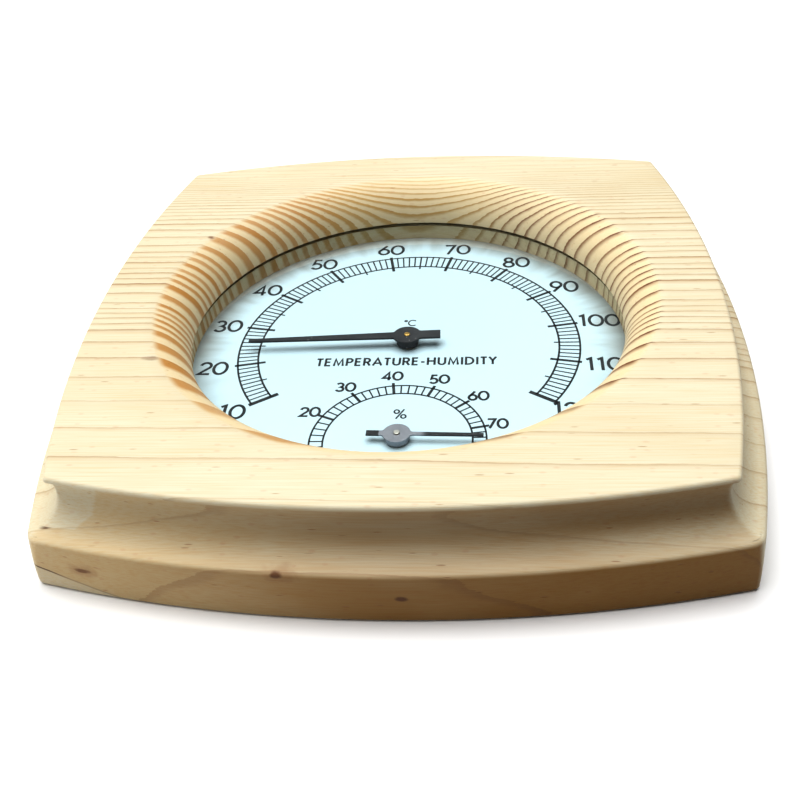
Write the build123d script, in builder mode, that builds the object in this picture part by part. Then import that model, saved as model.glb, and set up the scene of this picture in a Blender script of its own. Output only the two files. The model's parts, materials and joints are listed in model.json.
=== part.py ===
from build123d import *
import math
import os

# Wall and table thermo-hygrometer in a solid wood frame, lying on its back.
# Millimetres. Origin: centre of the back face. +Z points out of the dial,
# +Y to the top of the dial (between 60 and 70 degrees), +X to its right.

# ---------------------------------------------------------------- driving dimensions
# wood frame: a square whose four sides bow outwards, with a cove run along each side
FRAME_HALF = 83.9           # centre to the middle of a side, at the back
FRAME_THICK = 25.6
BOW_RADIUS = 297.0          # radius of each bowed side, seen from above
COVE_REACH = 6.4            # how far the lip stands out beyond the face
COVE_DEPTH = 12.3           # face down to the lip
CORNER_ROUND = 3.0
LIP_ROUND = 1.0
FACE_ROUND = 0.8
BACK_ROUND = 1.0
COVE_SWEEP = 44.0           # degrees of the bow that one cove cut covers
CUT_MARGIN = 8.0            # how far a cut runs on past the wood

# opening: a convex throat above a ledge, a bore behind the ledge, a recess for the cover
RIM_RADIUS = 54.9           # visible edge of the glass
CREST_RADIUS = 62.7         # where the throat meets the face
LEDGE_Z = 14.5
BORE_RADIUS = 59.0
RECESS_RADIUS = 67.0
RECESS_DEPTH = 2.4

# stack behind the ledge, front to back
STACK_RADIUS = 58.6
GASKET_THICK = 0.25
GASKET_INNER = 55.5
GLASS_THICK = 1.2
GLASS_CHAMFER = 0.25
DIAL_GAP = 4.15             # dial to the underside of the glass
SPACER_INNER = 55.9
DIAL_THICK = 0.3
BACKING_THICK = 0.7
REAR_SPACER_INNER = 56.5

# rear cover
COVER_RADIUS = 66.5
COVER_SHEET = 0.8
COVER_PRESS = 0.8           # depth of the pressed middle
COVER_PRESS_RADIUS = 54.0
COVER_PRESS_SLOPE = 1.2
VENT_COUNT = 12
VENT_RADIUS = 34.0
VENT_LENGTH = 18.0
VENT_WIDTH = 2.4
COVER_SCREW_RADIUS = 63.0
COVER_SCREW_COUNT = 4

# hanger plate with a keyhole, let into the back above the recess
HANGER_Y = 74.6
HANGER_WIDTH = 34.0
HANGER_HEIGHT = 12.0
HANGER_CORNER = 1.8
HANGER_SHEET = 1.0
HANGER_SINK = 0.2           # outer side of the plate below the back face
HANGER_GAP = 0.2
KEYHOLE_RADIUS = 3.2
KEYHOLE_Y = 72.6
KEYHOLE_SLOT_RADIUS = 1.6
KEYHOLE_SLOT_Y = 77.4
NAIL_POCKET_WIDTH = 9.0
NAIL_POCKET_HEIGHT = 10.4
NAIL_POCKET_DEPTH = 6.5
NAIL_POCKET_CORNER = 3.0
HANGER_SCREW_X = 12.5

# movements: one in the middle of the dial, one below it
HYGROMETER_Y = -38.25
ARBOR_RADIUS = 0.8
ARBOR_CLEARANCE = 0.04
STEM_RADIUS = 1.9
BUSHING_BACK_RADIUS = 2.6
BUSHING_BACK_THICK = 0.7
FLANGE_THICK = 0.3
BOSS_GAP = 0.15             # bushing flange to the pointer boss
COLLET_RADIUS = 1.9
COLLET_Z = (3.9, 6.9)
STRIP_THICK = 0.35
STRIP_Z = (4.1, 6.7)
POST_FOOT = 0.3             # how far a post stands out below its coil
COIL_PITCH = 1.5
BRIDGE_SHEET = 0.6
BRIDGE_WIDTH = 7.0
BRIDGE_FLOOR_Z = 3.0
BRIDGE_FOOT = 5.0
RIVET_RADIUS = 0.8
RIVET_HEAD_RADIUS = 1.5
RIVET_HEAD_HEIGHT = 0.6
RIVET_HEAD_ROUND = 0.45
POST_RADIUS = 1.0
ARBOR_FOOT_Z = 2.6
ARBOR_ROUND = 0.2

# scales, in degrees of pointer travel
TEMP_STEP = 2.25            # per degree Celsius
TEMP_TOP = 65.0             # value at 12 o'clock
TEMP_REST = 24.0
HUMID_STEP = 2.775          # per percent
HUMID_TOP = 42.4
HUMID_REST = 75.5

# ---------------------------------------------------------------- worked out from these
FACE_HALF = FRAME_HALF - COVE_REACH
BOW_CENTRE = BOW_RADIUS - FRAME_HALF
LIP_Z = FRAME_THICK - COVE_DEPTH
COVE_RADIUS = (COVE_REACH**2 + COVE_DEPTH**2) / (2 * COVE_DEPTH)
THROAT_REACH = CREST_RADIUS - RIM_RADIUS
THROAT_DEPTH = FRAME_THICK - LEDGE_Z
THROAT_RADIUS = (THROAT_REACH**2 + THROAT_DEPTH**2) / (2 * THROAT_REACH)
GASKET_Z = LEDGE_Z - GASKET_THICK
GLASS_Z = GASKET_Z - GLASS_THICK
DIAL_TOP = GLASS_Z - DIAL_GAP
DIAL_Z = DIAL_TOP - DIAL_THICK
BACKING_Z = DIAL_Z - BACKING_THICK
COVER_Z = RECESS_DEPTH - COVER_SHEET
BORE_OF_ARBOR = ARBOR_RADIUS + ARBOR_CLEARANCE

os.makedirs("parts", exist_ok=True)
pieces = []


def keep(builder, name):
    """Label a finished piece and remember it for export."""
    builder.part.label = name
    pieces.append((builder.part, name))


def turned(x, y, z, degrees):
    """A plane at a point, facing up, with its x axis turned about Z."""
    angle = math.radians(degrees)
    return Plane(origin=(x, y, z), x_dir=(math.cos(angle), math.sin(angle), 0), z_dir=(0, 0, 1))


def ring(inner, outer, low, high):
    """A plain ring about the dial's axis."""
    with BuildPart() as body:
        with BuildSketch(Plane.XY.offset(low)):
            Circle(outer)
            Circle(inner, mode=Mode.SUBTRACT)
        extrude(amount=high - low)
    return body


# ---------------------------------------------------------------- screws
PAN_HEAD_RADIUS = 2.7
PAN_HEAD_HEIGHT = 1.3
PAN_HEAD_FLAT = 0.45         # share of the head's radius that is flat
PAN_HEAD_SIDE = 0.3
PAN_SHANK_RADIUS = 1.3
PAN_SHANK_LENGTH = 9.0
PAN_POINT_LENGTH = 1.8
POINT_RADIUS = 0.2
CROSS_WIDTH = 0.6
CROSS_LENGTH = 2.8
CROSS_DEPTH = 0.8

with BuildPart() as pan_screw:          # head down, shank up, head seat at z = 0
    with BuildSketch(Plane.XZ):
        with BuildLine():
            flat = PAN_HEAD_RADIUS * PAN_HEAD_FLAT
            Line((0, -PAN_HEAD_HEIGHT), (flat, -PAN_HEAD_HEIGHT))
            EllipticalCenterArc((flat, -PAN_HEAD_SIDE), PAN_HEAD_RADIUS - flat,
                                PAN_HEAD_HEIGHT - PAN_HEAD_SIDE, start_angle=270, arc_size=90)
            Polyline((PAN_HEAD_RADIUS, -PAN_HEAD_SIDE), (PAN_HEAD_RADIUS, 0),
                     (PAN_SHANK_RADIUS, 0),
                     (PAN_SHANK_RADIUS, PAN_SHANK_LENGTH - PAN_POINT_LENGTH),
                     (POINT_RADIUS, PAN_SHANK_LENGTH), (0, PAN_SHANK_LENGTH),
                     (0, -PAN_HEAD_HEIGHT))
        make_face()
    revolve(axis=Axis.Z)
    with BuildSketch(Plane.XY.offset(-PAN_HEAD_HEIGHT)):
        Rectangle(CROSS_LENGTH, CROSS_WIDTH)
        Rectangle(CROSS_WIDTH, CROSS_LENGTH)
    extrude(amount=CROSS_DEPTH, mode=Mode.SUBTRACT)

with BuildPart() as cover_screws:
    with PolarLocations(COVER_SCREW_RADIUS, COVER_SCREW_COUNT, start_angle=45):
        with Locations((0, 0, COVER_Z)):
            add(pan_screw.part)
keep(cover_screws, "cover_screws")

CSK_HEAD_RADIUS = 2.3
CSK_HEAD_HEIGHT = 1.3
CSK_SHANK_RADIUS = 1.1
CSK_SHANK_LENGTH = 8.5
CSK_POINT_LENGTH = 1.6

with BuildPart() as countersunk_blank:  # flat head down at z = 0, shank up, no recess yet
    with BuildSketch(Plane.XZ):
        with BuildLine():
            Polyline((0, 0), (CSK_HEAD_RADIUS, 0), (CSK_SHANK_RADIUS, CSK_HEAD_HEIGHT),
                     (CSK_SHANK_RADIUS, CSK_SHANK_LENGTH - CSK_POINT_LENGTH),
                     (POINT_RADIUS, CSK_SHANK_LENGTH), (0, CSK_SHANK_LENGTH), (0, 0))
        make_face()
    revolve(axis=Axis.Z)

hanger_screw_spots = [(x, HANGER_Y, HANGER_SINK) for x in (-HANGER_SCREW_X, HANGER_SCREW_X)]
with BuildPart() as hanger_screw_holes:
    with Locations(*hanger_screw_spots):
        add(countersunk_blank.part)

with BuildPart() as hanger_screws:
    add(hanger_screw_holes.part)
    with BuildSketch(Plane.XY.offset(HANGER_SINK)):
        with Locations(*[(x, y) for x, y, _ in hanger_screw_spots]):
            Rectangle(CROSS_LENGTH, CROSS_WIDTH)
            Rectangle(CROSS_WIDTH, CROSS_LENGTH)
    extrude(amount=CROSS_DEPTH, mode=Mode.SUBTRACT)
keep(hanger_screws, "hanger_screws")

# ---------------------------------------------------------------- wood frame
throat_turn = math.asin(THROAT_DEPTH / THROAT_RADIUS) / 2
throat_middle = (RIM_RADIUS + THROAT_RADIUS * (1 - math.cos(throat_turn)),
                 LEDGE_Z + THROAT_RADIUS * math.sin(throat_turn))
half_diagonal = math.sqrt(2 * BOW_RADIUS**2 - BOW_CENTRE**2)
corner = (half_diagonal - BOW_CENTRE) / 2

with BuildPart() as cove_cutter:        # material taken off beyond the cove, on the +X side
    start = math.radians(-COVE_SWEEP / 2)
    start_plane = Plane(origin=(-BOW_CENTRE, 0, 0), x_dir=(math.cos(start), math.sin(start), 0),
                        z_dir=(math.sin(start), -math.cos(start), 0))
    face_edge = BOW_CENTRE + FACE_HALF
    lip_edge = face_edge + COVE_REACH
    beyond = lip_edge + CUT_MARGIN
    above = FRAME_THICK + CUT_MARGIN
    cove_centre_z = LIP_Z + COVE_RADIUS
    cove_end_z = cove_centre_z - math.sqrt(COVE_RADIUS**2 - LIP_ROUND**2)
    round_z = LIP_Z - LIP_ROUND
    with BuildSketch(start_plane):
        with BuildLine():
            ThreePointArc((face_edge, FRAME_THICK),
                          (lip_edge - COVE_RADIUS, cove_centre_z),
                          (lip_edge - LIP_ROUND, cove_end_z))
            EllipticalCenterArc((lip_edge - LIP_ROUND, round_z), LIP_ROUND, cove_end_z - round_z,
                                start_angle=0, arc_size=90)
            Polyline((lip_edge, round_z), (beyond, round_z), (beyond, above),
                     (face_edge, above), (face_edge, FRAME_THICK))
        make_face()
    revolve(axis=Axis((-BOW_CENTRE, 0, 0), (0, 0, 1)), revolution_arc=COVE_SWEEP)

with BuildPart() as frame:
    with BuildSketch():
        with BuildLine():
            ThreePointArc((corner, corner), (0, FRAME_HALF), (-corner, corner))
            ThreePointArc((-corner, corner), (-FRAME_HALF, 0), (-corner, -corner))
            ThreePointArc((-corner, -corner), (0, -FRAME_HALF), (corner, -corner))
            ThreePointArc((corner, -corner), (FRAME_HALF, 0), (corner, corner))
        make_face()
    extrude(amount=FRAME_THICK)
    fillet(frame.edges().filter_by(Axis.Z), radius=CORNER_ROUND)
    for side in range(4):
        add(cove_cutter.part, rotation=(0, 0, 90 * side), mode=Mode.SUBTRACT)
    fillet(frame.faces().sort_by(Axis.Z)[-1].edges(), radius=FACE_ROUND)
    fillet(frame.faces().sort_by(Axis.Z)[0].edges(), radius=BACK_ROUND)
    # opening: cover recess, bore, ledge and the convex throat up to the face
    with BuildSketch(Plane.XZ):
        with BuildLine():
            Polyline((CREST_RADIUS, FRAME_THICK), (0, FRAME_THICK), (0, 0), (RECESS_RADIUS, 0),
                     (RECESS_RADIUS, RECESS_DEPTH), (BORE_RADIUS, RECESS_DEPTH),
                     (BORE_RADIUS, LEDGE_Z), (RIM_RADIUS, LEDGE_Z))
            ThreePointArc((RIM_RADIUS, LEDGE_Z), throat_middle, (CREST_RADIUS, FRAME_THICK))
        make_face()
    revolve(axis=Axis.Z, mode=Mode.SUBTRACT)
    # housing for the hanger plate, and the pocket behind it for the nail's head
    with BuildSketch(turned(0, HANGER_Y, 0, 0)):
        RectangleRounded(HANGER_WIDTH + 2 * HANGER_GAP, HANGER_HEIGHT + 2 * HANGER_GAP,
                         HANGER_CORNER + HANGER_GAP)
    extrude(amount=HANGER_SINK + HANGER_SHEET, mode=Mode.SUBTRACT)
    with BuildSketch(turned(0, HANGER_Y, 0, 0)):
        RectangleRounded(NAIL_POCKET_WIDTH, NAIL_POCKET_HEIGHT, NAIL_POCKET_CORNER)
    extrude(amount=NAIL_POCKET_DEPTH, mode=Mode.SUBTRACT)
    add(cover_screws.part, mode=Mode.SUBTRACT)
    add(hanger_screw_holes.part, mode=Mode.SUBTRACT)
keep(frame, "frame")

# ---------------------------------------------------------------- glass, rings and dial
keep(ring(GASKET_INNER, STACK_RADIUS, GASKET_Z, LEDGE_Z), "lens_gasket")

with BuildPart() as lens:
    with BuildSketch(Plane.XY.offset(GLASS_Z)):
        Circle(STACK_RADIUS)
    extrude(amount=GLASS_THICK)
    chamfer(lens.edges(), length=GLASS_CHAMFER)
keep(lens, "lens")

keep(ring(SPACER_INNER, STACK_RADIUS, DIAL_TOP, GLASS_Z), "front_spacer")
keep(ring(REAR_SPACER_INNER, STACK_RADIUS, RECESS_DEPTH, BACKING_Z), "rear_spacer")

with BuildPart() as dial_face:
    with BuildSketch(Plane.XY.offset(DIAL_Z)):
        Circle(STACK_RADIUS)
        with Locations((0, 0), (0, HYGROMETER_Y)):
            Circle(STEM_RADIUS, mode=Mode.SUBTRACT)
    extrude(amount=DIAL_THICK)
keep(dial_face, "dial_face")


def end_of_coil(half_turns):
    """Where a coil's centre line ends on its own X axis, and which way is outwards."""
    start_radius = COLLET_RADIUS + STRIP_THICK / 2
    last = half_turns - 1
    radius = start_radius + last * COIL_PITCH / 2
    centre = 0 if last % 2 == 0 else COIL_PITCH / 2
    outwards = -1 if last % 2 == 0 else 1
    return centre + outwards * radius, outwards


MOVEMENTS = {
    "thermometer": dict(y=0.0, half_turns=12, bridge_half=15.2, flange=2.3),
    "hygrometer": dict(y=HYGROMETER_Y, half_turns=9, bridge_half=12.0, flange=2.6),
}


def rivet_spots(spec):
    """The two rivets of a movement's bridge."""
    reach = spec["bridge_half"] + BRIDGE_FOOT / 2
    return [(-reach, spec["y"]), (reach, spec["y"])]


def post_spot(spec):
    """The post that holds the outer end of a movement's coil."""
    end, outwards = end_of_coil(spec["half_turns"])
    return (end + outwards * (STRIP_THICK / 2 + POST_RADIUS), spec["y"])


with BuildPart() as backing_plate:
    with BuildSketch(Plane.XY.offset(BACKING_Z)):
        Circle(STACK_RADIUS)
        for spec in MOVEMENTS.values():
            with Locations((0, spec["y"])):
                Circle(STEM_RADIUS, mode=Mode.SUBTRACT)
            with Locations(*rivet_spots(spec), post_spot(spec)):
                Circle(RIVET_RADIUS, mode=Mode.SUBTRACT)
    extrude(amount=BACKING_THICK)
keep(backing_plate, "backing_plate")

# ---------------------------------------------------------------- rear cover
with BuildPart() as back_cover:
    outer_z = COVER_Z - COVER_PRESS
    with BuildSketch(Plane.XZ):
        with BuildLine():
            Polyline((0, outer_z), (COVER_PRESS_RADIUS, outer_z),
                     (COVER_PRESS_RADIUS + COVER_PRESS_SLOPE, COVER_Z), (COVER_RADIUS, COVER_Z),
                     (COVER_RADIUS, RECESS_DEPTH),
                     (COVER_PRESS_RADIUS + COVER_PRESS_SLOPE / 2, RECESS_DEPTH),
                     (COVER_PRESS_RADIUS - COVER_PRESS_SLOPE / 2, COVER_Z), (0, COVER_Z),
                     (0, outer_z))
        make_face()
    revolve(axis=Axis.Z)
    with BuildSketch(Plane.XY):
        with PolarLocations(VENT_RADIUS, VENT_COUNT):
            SlotOverall(VENT_LENGTH, VENT_WIDTH)
    extrude(amount=RECESS_DEPTH, mode=Mode.SUBTRACT)
    with PolarLocations(COVER_SCREW_RADIUS, COVER_SCREW_COUNT, start_angle=45):
        Hole(PAN_SHANK_RADIUS)
keep(back_cover, "back_cover")

# ---------------------------------------------------------------- hanger plate
with BuildPart() as hanger_plate:
    with BuildSketch(turned(0, HANGER_Y, HANGER_SINK, 0)):
        RectangleRounded(HANGER_WIDTH, HANGER_HEIGHT, HANGER_CORNER)
    extrude(amount=HANGER_SHEET)
    with BuildSketch(Plane.XY):
        with Locations((0, KEYHOLE_Y)):
            Circle(KEYHOLE_RADIUS)
        with Locations((0, (KEYHOLE_Y + KEYHOLE_SLOT_Y) / 2)):
            Rectangle(2 * KEYHOLE_SLOT_RADIUS, KEYHOLE_SLOT_Y - KEYHOLE_Y)
        with Locations((0, KEYHOLE_SLOT_Y)):
            Circle(KEYHOLE_SLOT_RADIUS)
    extrude(amount=HANGER_SINK + HANGER_SHEET, mode=Mode.SUBTRACT)
    add(hanger_screw_holes.part, mode=Mode.SUBTRACT)
keep(hanger_plate, "hanger_plate")


# ---------------------------------------------------------------- movements
def bushing(spec):
    """Brass bearing riveted through the dial, with a flange on the front."""
    with BuildPart() as body:
        with BuildSketch(Plane.XZ.offset(-spec["y"])):
            with BuildLine():
                Polyline((BORE_OF_ARBOR, BACKING_Z - BUSHING_BACK_THICK),
                         (BUSHING_BACK_RADIUS, BACKING_Z - BUSHING_BACK_THICK),
                         (BUSHING_BACK_RADIUS, BACKING_Z), (STEM_RADIUS, BACKING_Z),
                         (STEM_RADIUS, DIAL_TOP), (spec["flange"], DIAL_TOP),
                         (spec["flange"], DIAL_TOP + FLANGE_THICK),
                         (BORE_OF_ARBOR, DIAL_TOP + FLANGE_THICK),
                         (BORE_OF_ARBOR, BACKING_Z - BUSHING_BACK_THICK))
            make_face()
        revolve(axis=Axis((0, spec["y"], 0), (0, 0, 1)))
    return body


def bridge(spec):
    """Bent strip that carries the back end of an arbor."""
    half = spec["bridge_half"]
    with BuildPart() as body:
        with BuildSketch(Plane.XZ.offset(-spec["y"])):
            with BuildLine():
                Polyline((0, BRIDGE_FLOOR_Z), (half, BRIDGE_FLOOR_Z),
                         (half, BACKING_Z - BRIDGE_SHEET),
                         (half + BRIDGE_FOOT, BACKING_Z - BRIDGE_SHEET),
                         (half + BRIDGE_FOOT, BACKING_Z), (half - BRIDGE_SHEET, BACKING_Z),
                         (half - BRIDGE_SHEET, BRIDGE_FLOOR_Z + BRIDGE_SHEET),
                         (0, BRIDGE_FLOOR_Z + BRIDGE_SHEET), (0, BRIDGE_FLOOR_Z))
            make_face()
            mirror(about=Plane.YZ)
        extrude(amount=BRIDGE_WIDTH / 2, both=True)
        with BuildSketch(Plane.XY):
            with Locations((0, spec["y"])):
                Circle(BORE_OF_ARBOR)
            with Locations(*rivet_spots(spec)):
                Circle(RIVET_RADIUS)
        extrude(amount=BACKING_Z, mode=Mode.SUBTRACT)
    return body


def rivets(spec):
    """Domed rivets through the feet of a bridge and the backing plate."""
    head_z = BACKING_Z - BRIDGE_SHEET
    with BuildPart() as body:
        with BuildSketch(Plane.XY.offset(head_z)):
            with Locations(*rivet_spots(spec)):
                Circle(RIVET_RADIUS)
        extrude(amount=DIAL_Z - head_z)
        with BuildSketch(Plane.XY.offset(head_z)):
            with Locations(*rivet_spots(spec)):
                Circle(RIVET_HEAD_RADIUS)
        extrude(amount=-RIVET_HEAD_HEIGHT)
        fillet(body.faces().group_by(Axis.Z)[0].edges(), radius=RIVET_HEAD_ROUND)
    return body


def anchor_post(spec):
    """Pin that holds the outer end of a coil."""
    with BuildPart() as body:
        with BuildSketch(Plane.XY.offset(STRIP_Z[0] - POST_FOOT)):
            with Locations(post_spot(spec)):
                Circle(POST_RADIUS)
        extrude(amount=BACKING_Z - STRIP_Z[0] + POST_FOOT)
        with BuildSketch(Plane.XY.offset(BACKING_Z)):
            with Locations(post_spot(spec)):
                Circle(RIVET_RADIUS)
        extrude(amount=BACKING_THICK)
    return body


def coil(spec):
    """Flat spiral of half circles on two centres, from the collet out to the post."""
    start_radius = COLLET_RADIUS + STRIP_THICK / 2
    half_strip = STRIP_THICK / 2
    with BuildPart() as body:
        with BuildSketch(turned(0, spec["y"], STRIP_Z[0], 0)):
            with BuildLine():
                for edge in (-half_strip, half_strip):
                    for turn in range(spec["half_turns"]):
                        radius = start_radius + turn * COIL_PITCH / 2 + edge
                        centre = (0, 0) if turn % 2 == 0 else (COIL_PITCH / 2, 0)
                        CenterArc(centre, radius, 0 if turn % 2 == 0 else 180, 180)
                end, _ = end_of_coil(spec["half_turns"])
                Line((start_radius - half_strip, 0), (start_radius + half_strip, 0))
                Line((end - half_strip, 0), (end + half_strip, 0))
            make_face()
        extrude(amount=STRIP_Z[1] - STRIP_Z[0])
    return body


def arbor(spec, tip_z):
    """Turning shaft with rounded ends."""
    with BuildPart() as body:
        with BuildSketch(turned(0, spec["y"], ARBOR_FOOT_Z, 0)):
            Circle(ARBOR_RADIUS)
        extrude(amount=tip_z - ARBOR_FOOT_Z)
        fillet(body.edges().filter_by(GeomType.CIRCLE), radius=ARBOR_ROUND)
    return body


def collet(spec):
    """Sleeve on the arbor that holds the inner end of the coil."""
    with BuildPart() as body:
        with BuildSketch(turned(0, spec["y"], COLLET_Z[0], 0)):
            Circle(COLLET_RADIUS)
            Circle(ARBOR_RADIUS, mode=Mode.SUBTRACT)
        extrude(amount=COLLET_Z[1] - COLLET_Z[0])
    return body


# pointers: a boss on the arbor under a flat stamped needle
POINTERS = {
    "thermometer": dict(rest=90 + (TEMP_TOP - TEMP_REST) * TEMP_STEP, boss=2.85, boss_top=11.45,
                        sheet=0.5, disc=3.6, reach=41.4, root=2.7, tip=1.15, tail=8.6,
                        tail_width=3.2, arbor_tip=12.25),
    "hygrometer": dict(rest=90 + (HUMID_TOP - HUMID_REST) * HUMID_STEP, boss=2.95, boss_top=10.65,
                       sheet=0.4, disc=3.25, reach=19.9, root=1.1, tip=0.9, tail=7.1,
                       tail_width=1.6, arbor_tip=11.4),
}
BOSS_Z = DIAL_TOP + FLANGE_THICK + BOSS_GAP
NECK_ROUND = 0.7            # where an arm or a tail leaves its disc
NECK_TOLERANCE = 0.05       # how near to the disc's edge such a corner lies


def pointer_boss(spec, shape):
    """Round boss between the dial and the needle."""
    with BuildPart() as body:
        with BuildSketch(turned(0, spec["y"], BOSS_Z, 0)):
            Circle(shape["boss"])
            Circle(ARBOR_RADIUS, mode=Mode.SUBTRACT)
        extrude(amount=shape["boss_top"] - BOSS_Z)
    return body


def pointer(spec, shape):
    """Stamped needle: a disc, a tapering arm and a counterweight tail."""
    with BuildPart() as body:
        plane = turned(0, spec["y"], shape["boss_top"], shape["rest"])
        with BuildSketch(plane) as outline:
            with BuildLine():
                Polyline((0, -shape["root"] / 2), (shape["reach"], -shape["tip"] / 2),
                         (shape["reach"], shape["tip"] / 2), (0, shape["root"] / 2),
                         (0, -shape["root"] / 2))
            make_face()
            with Locations((-shape["tail"] / 2, 0)):
                Rectangle(shape["tail"], shape["tail_width"])
            Circle(shape["disc"])
            joins = outline.vertices().filter_by(
                lambda v: abs(math.hypot(v.X, v.Y) - shape["disc"]) < NECK_TOLERANCE)
            fillet(joins, radius=NECK_ROUND)
            Circle(ARBOR_RADIUS, mode=Mode.SUBTRACT)
        extrude(amount=shape["sheet"])
    return body


for kind, spec in MOVEMENTS.items():
    shape = POINTERS[kind]
    keep(bushing(spec), kind + "_bushing")
    keep(bridge(spec), kind + "_bridge")
    keep(rivets(spec), kind + "_rivets")
    keep(anchor_post(spec), kind + "_anchor_post")
    keep(coil(spec), kind + "_coil")
    keep(arbor(spec, shape["arbor_tip"]), kind + "_arbor")
    keep(collet(spec), kind + "_collet")
    keep(pointer_boss(spec, shape), kind + "_boss")
    keep(pointer(spec, shape), kind + "_pointer")

for part, name in pieces:
    export_step(part, "parts/" + name + ".step")
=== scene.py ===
import json
import math

import bpy
from mathutils import Matrix, Vector


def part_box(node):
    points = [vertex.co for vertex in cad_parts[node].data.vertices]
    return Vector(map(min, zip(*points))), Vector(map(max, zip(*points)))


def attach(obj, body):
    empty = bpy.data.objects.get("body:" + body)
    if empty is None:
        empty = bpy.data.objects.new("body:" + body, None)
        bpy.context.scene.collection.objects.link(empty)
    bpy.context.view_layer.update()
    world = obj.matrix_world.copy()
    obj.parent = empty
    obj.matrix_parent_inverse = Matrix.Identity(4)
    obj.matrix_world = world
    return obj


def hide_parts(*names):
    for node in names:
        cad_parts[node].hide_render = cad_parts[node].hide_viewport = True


# A wood-framed thermo-hygrometer lying on its back. Lengths are millimetres in the frame's
# own axes (Z = 0 at the back, +Y to the top of the dial) unless a name says metres.

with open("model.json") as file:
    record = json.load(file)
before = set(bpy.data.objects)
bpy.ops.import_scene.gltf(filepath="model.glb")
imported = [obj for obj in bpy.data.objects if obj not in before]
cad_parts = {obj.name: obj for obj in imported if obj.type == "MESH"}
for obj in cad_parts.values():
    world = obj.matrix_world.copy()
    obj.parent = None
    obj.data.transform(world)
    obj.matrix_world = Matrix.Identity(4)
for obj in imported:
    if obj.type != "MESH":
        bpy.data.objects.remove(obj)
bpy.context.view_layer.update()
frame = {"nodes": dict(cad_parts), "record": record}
nodes = frame["nodes"]
MM = 0.001


# ================================================================ sizes read from the frame
def top_of(node):
    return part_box(node)[1].z / MM


def half_width_of(node):
    low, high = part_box(node)
    return (high.x - low.x) / 2 / MM


def middle_y_of(node):
    low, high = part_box(node)
    return (high.y + low.y) / 2 / MM


FRAME_HALF = half_width_of("frame")
FRAME_TOP = top_of("frame")
DIAL_TOP = top_of("dial_face")
LEDGE_Z = top_of("lens_gasket")
COVER_SEAT_Z = top_of("back_cover")
RECESS_RADIUS = half_width_of("back_cover") + 0.5
BORE_RADIUS = half_width_of("lens") + 0.4
HYGROMETER_Y = middle_y_of("hygrometer_arbor")
HANGER_Y = middle_y_of("hanger_plate")
HANGER_HALF = half_width_of("hanger_plate")
HANGER_TOP = top_of("hanger_plate")

# ---------------------------------------------------------------- wood frame
BOW_RADIUS = 297.0
COVE_REACH = 6.4
COVE_DEPTH = 12.3
RIM_RADIUS = 54.9
CREST_RADIUS = 62.7
FACE_ROUND = 0.9
FACE_CORNER = 1.2
LIP_ROUND = 1.1
LIP_CORNER = 4.5
BACK_ROUND = 1.0
FOOT_CORNER = 1.0          # the corners are sharper, and the sides flatter, lower down
FOOT_FLATTER = 16.0
FOOT_TUCK = 9.0
NAIL_POCKET = (4.5, 5.2, 6.5)     # half width, half height, depth
HOUSING_GAP = 0.2


# ================================================================ mesh helpers
def link(name, verts, faces, smooth_angle=None):
    """A mesh object from points in millimetres, smooth up to an angle in degrees."""
    mesh = bpy.data.meshes.new(name)
    mesh.from_pydata([(x * MM, y * MM, z * MM) for x, y, z in verts], [], faces)
    mesh.validate()
    if smooth_angle is not None:
        mesh.shade_smooth()
        mesh.set_sharp_from_angle(angle=math.radians(smooth_angle))
    obj = bpy.data.objects.new(name, mesh)
    bpy.context.scene.collection.objects.link(obj)
    return obj


def carve(obj, cutter):
    """Takes the cutter's volume out of obj, and removes the cutter."""
    modifier = obj.modifiers.new("carve", "BOOLEAN")
    modifier.operation = "DIFFERENCE"
    modifier.solver = "EXACT"
    modifier.object = cutter
    bpy.context.view_layer.update()
    evaluated = obj.evaluated_get(bpy.context.evaluated_depsgraph_get())
    mesh = bpy.data.meshes.new_from_object(evaluated)
    obj.modifiers.clear()
    obj.data = mesh
    bpy.data.objects.remove(cutter)


def rounded_block(name, half_x, half_y, corner, y, low, high, steps=6):
    """A closed block with rounded upright edges, used as a cutter."""
    outline = []
    for cx, cy, start in ((1, 1, 0), (-1, 1, 90), (-1, -1, 180), (1, -1, 270)):
        for k in range(steps + 1):
            angle = math.radians(start + 90 * k / steps)
            outline.append((cx * (half_x - corner) + corner * math.cos(angle),
                            y + cy * (half_y - corner) + corner * math.sin(angle)))
    count = len(outline)
    verts = [(px, py, z) for z in (low, high) for px, py in outline]
    faces = [tuple(range(count))[::-1], tuple(range(count, 2 * count))]
    faces += [(k, (k + 1) % count, count + (k + 1) % count, count + k) for k in range(count)]
    return link(name, verts, faces)


def bowed_loop(inset, corner, flatter=0.0, side_steps=72, corner_steps=10):
    """Points of a square with bowed sides, inset from the lip, its corners rounded."""
    radius = BOW_RADIUS + flatter - inset
    bow_centre = BOW_RADIUS + flatter - FRAME_HALF
    inner = radius - corner
    middle = (-bow_centre + math.sqrt(2 * inner**2 - bow_centre**2)) / 2
    end = math.atan2(middle, middle + bow_centre)
    quarter = []
    for k in range(side_steps):
        angle = end * (2 * k / side_steps - 1)
        quarter.append((radius * math.cos(angle) - bow_centre, radius * math.sin(angle)))
    for k in range(corner_steps):
        angle = end + (math.pi / 2 - 2 * end) * k / corner_steps
        quarter.append((middle + corner * math.cos(angle), middle + corner * math.sin(angle)))
    points = []
    for side in range(4):
        cos, sin = (1, 0, -1, 0)[side], (0, 1, 0, -1)[side]
        points += [(x * cos - y * sin, x * sin + y * cos) for x, y in quarter]
    return points


def ellipse_arc(centre, radii, start, end, count):
    """Points along part of an ellipse, with its angles in degrees."""
    angles = [math.radians(start + (end - start) * k / count) for k in range(count + 1)]
    return [(centre[0] + radii[0] * math.cos(a), centre[1] + radii[1] * math.sin(a))
            for a in angles]


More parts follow.
